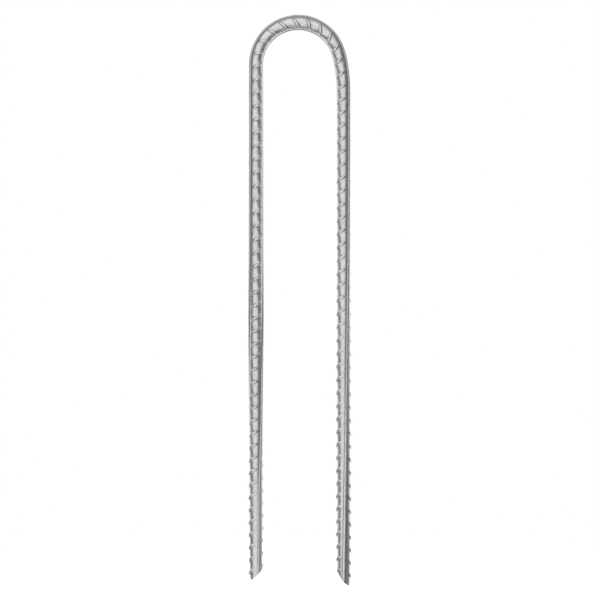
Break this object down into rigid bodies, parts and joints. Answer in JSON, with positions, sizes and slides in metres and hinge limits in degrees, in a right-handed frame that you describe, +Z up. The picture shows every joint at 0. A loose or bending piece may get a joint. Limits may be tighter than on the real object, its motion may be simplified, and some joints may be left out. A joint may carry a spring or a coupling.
{
  "type": "tent stake",
  "caption": "Tall U-shaped ground stake bent from ribbed steel bar, with a round crown and long parallel legs sheared to sharp points.",
  "frame": {"origin": "midway between the two leg axes, at the height where the left leg meets the bend: the ground line when the stake is driven home", "axes": "+Z up, from the tips to the crown; +X across the U from the shorter leg to the longer one; +Y through the U, so -Y is its front"},
  "size_m": [0.0736, 0.0112, 0.4078],
  "materials": {
    "galvanised_steel": "galvanised, dull grey zinc with fine mottling and brighter rib crests"
  },
  "bodies": {
    "root": {"stake_bar": "galvanised_steel"}
  },
  "joints": []
}
